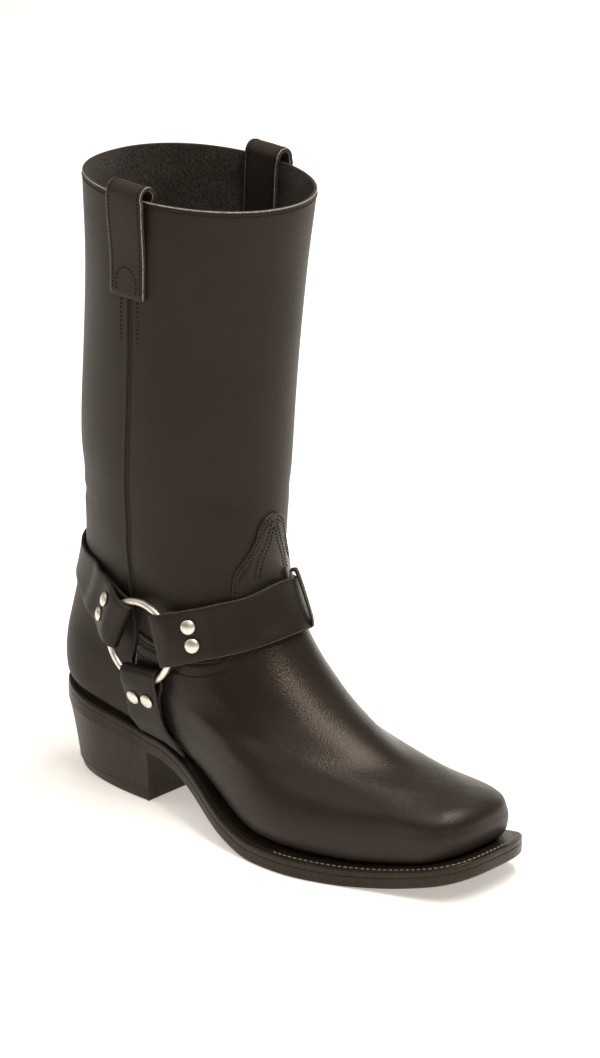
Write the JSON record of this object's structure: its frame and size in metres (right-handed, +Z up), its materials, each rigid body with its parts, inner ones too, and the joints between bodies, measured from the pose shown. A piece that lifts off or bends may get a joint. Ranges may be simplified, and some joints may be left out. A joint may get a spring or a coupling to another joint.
{
  "type": "motorcycle boot",
  "caption": "Tall pull-on motorcycle harness boot with a square toe, stacked heel, welted sole, ankle straps riveted round metal rings, and pull straps at the collar.",
  "frame": {"origin": "on the floor, under the middle of the boot's box", "axes": "+X towards the toe, +Y towards the inner (medial) side, +Z up from the floor"},
  "size_m": [0.3116, 0.13, 0.3793],
  "materials": {
    "leather": "smooth oiled leather, dark brown to black",
    "strap_leather": "dark strap leather with raw cut edges",
    "sole_edge": "satin dark brown sole and heel edge",
    "rubber": "matt black heel cap",
    "insole": "plain brown leather insole",
    "nickel": "satin nickel-plated rings and rivets"
  },
  "bodies": {
    "boot": {"outsole": "sole_edge", "welt": "sole_edge", "heel": "sole_edge", "heel_cap": "rubber", "insole": "insole", "upper": "leather", "vamp": "leather", "side_seam_lateral": "leather", "side_seam_medial": "leather", "pull_strap_lateral": "strap_leather", "pull_strap_medial": "strap_leather", "instep_strap": "strap_leather", "strap_keeper": "strap_leather", "heel_strap": "strap_leather", "bottom_strap_lateral": "strap_leather", "bottom_strap_medial": "strap_leather", "rivet_instep_lateral_1": "nickel", "rivet_instep_lateral_2": "nickel", "rivet_instep_medial_1": "nickel", "rivet_instep_medial_2": "nickel", "rivet_heel_lateral_1": "nickel", "rivet_heel_lateral_2": "nickel", "rivet_heel_medial_1": "nickel", "rivet_heel_medial_2": "nickel", "rivet_bottom_lateral_1": "nickel", "rivet_bottom_lateral_2": "nickel", "rivet_bottom_medial_1": "nickel", "rivet_bottom_medial_2": "nickel"},
    "lateral_ring": {"ring_lateral": "nickel"},
    "medial_ring": {"ring_medial": "nickel"}
  },
  "joints": [
    {"name": "ring_turn_lateral", "type": "hinge", "parent": "boot", "child": "lateral_ring", "pos_m": [-0.06852, -0.0513, 0.10482], "axis": [0.0031, -1, 0.0022], "continuous": true},
    {"name": "ring_turn_medial", "type": "hinge", "parent": "boot", "child": "medial_ring", "pos_m": [-0.0683, 0.04093, 0.10418], "axis": [0.029, 0.997, -0.0719], "continuous": true}
  ]
}
